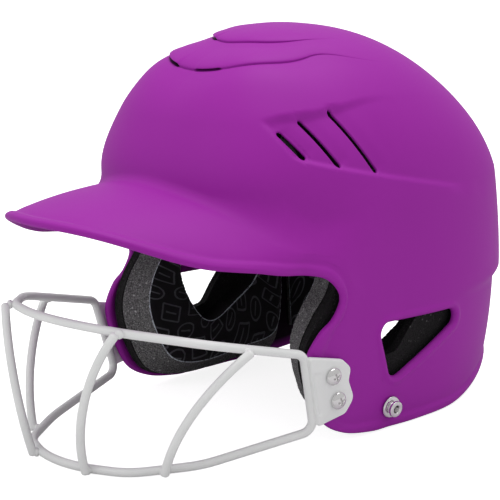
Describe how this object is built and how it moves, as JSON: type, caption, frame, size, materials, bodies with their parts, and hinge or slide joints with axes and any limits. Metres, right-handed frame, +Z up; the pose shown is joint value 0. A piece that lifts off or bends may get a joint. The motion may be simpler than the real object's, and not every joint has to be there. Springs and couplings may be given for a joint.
{
  "type": "softball batting helmet",
  "caption": "Batting helmet with a bill, ear flaps, slotted dome, bolted wire face guard, snap studs and foam padding.",
  "frame": {"origin": "centre of the footprint at the table, under the ear flaps and the guard's lower bar", "axes": "+Z up, -Y towards the bill and face guard, +X towards the wearer's left"},
  "size_m": [0.2004, 0.3217, 0.2255],
  "materials": {
    "shell": "matte",
    "guard": "satin white powder coat",
    "fasteners": "polished",
    "hidden_hardware": "zinc plated",
    "thin_foam": "cut foam",
    "padding": "foam under brushed cloth"
  },
  "bodies": {
    "root": {"shell": "shell", "guard_loop": "guard", "guard_upright_outer_left": "guard", "guard_upright_outer_right": "guard", "guard_upright_inner_left": "guard", "guard_upright_inner_right": "guard", "guard_plate_left": "guard", "guard_plate_right": "guard", "guard_screws_left": "fasteners", "guard_screws_right": "fasteners", "tee_nuts_left": "hidden_hardware", "tee_nuts_right": "hidden_hardware", "snap_stud_left": "fasteners", "snap_stud_right": "fasteners", "stud_washer_left": "hidden_hardware", "stud_washer_right": "hidden_hardware", "ear_pad_outer_left": "thin_foam", "ear_pad_outer_right": "thin_foam", "ear_pad_inner_left": "padding", "ear_pad_inner_right": "padding", "rear_pad_center": "padding", "rear_pad_left": "padding", "rear_pad_right": "padding", "brow_pad": "padding", "upper_pad_left": "padding", "upper_pad_right": "padding", "crown_pad": "padding"}
  },
  "joints": []
}
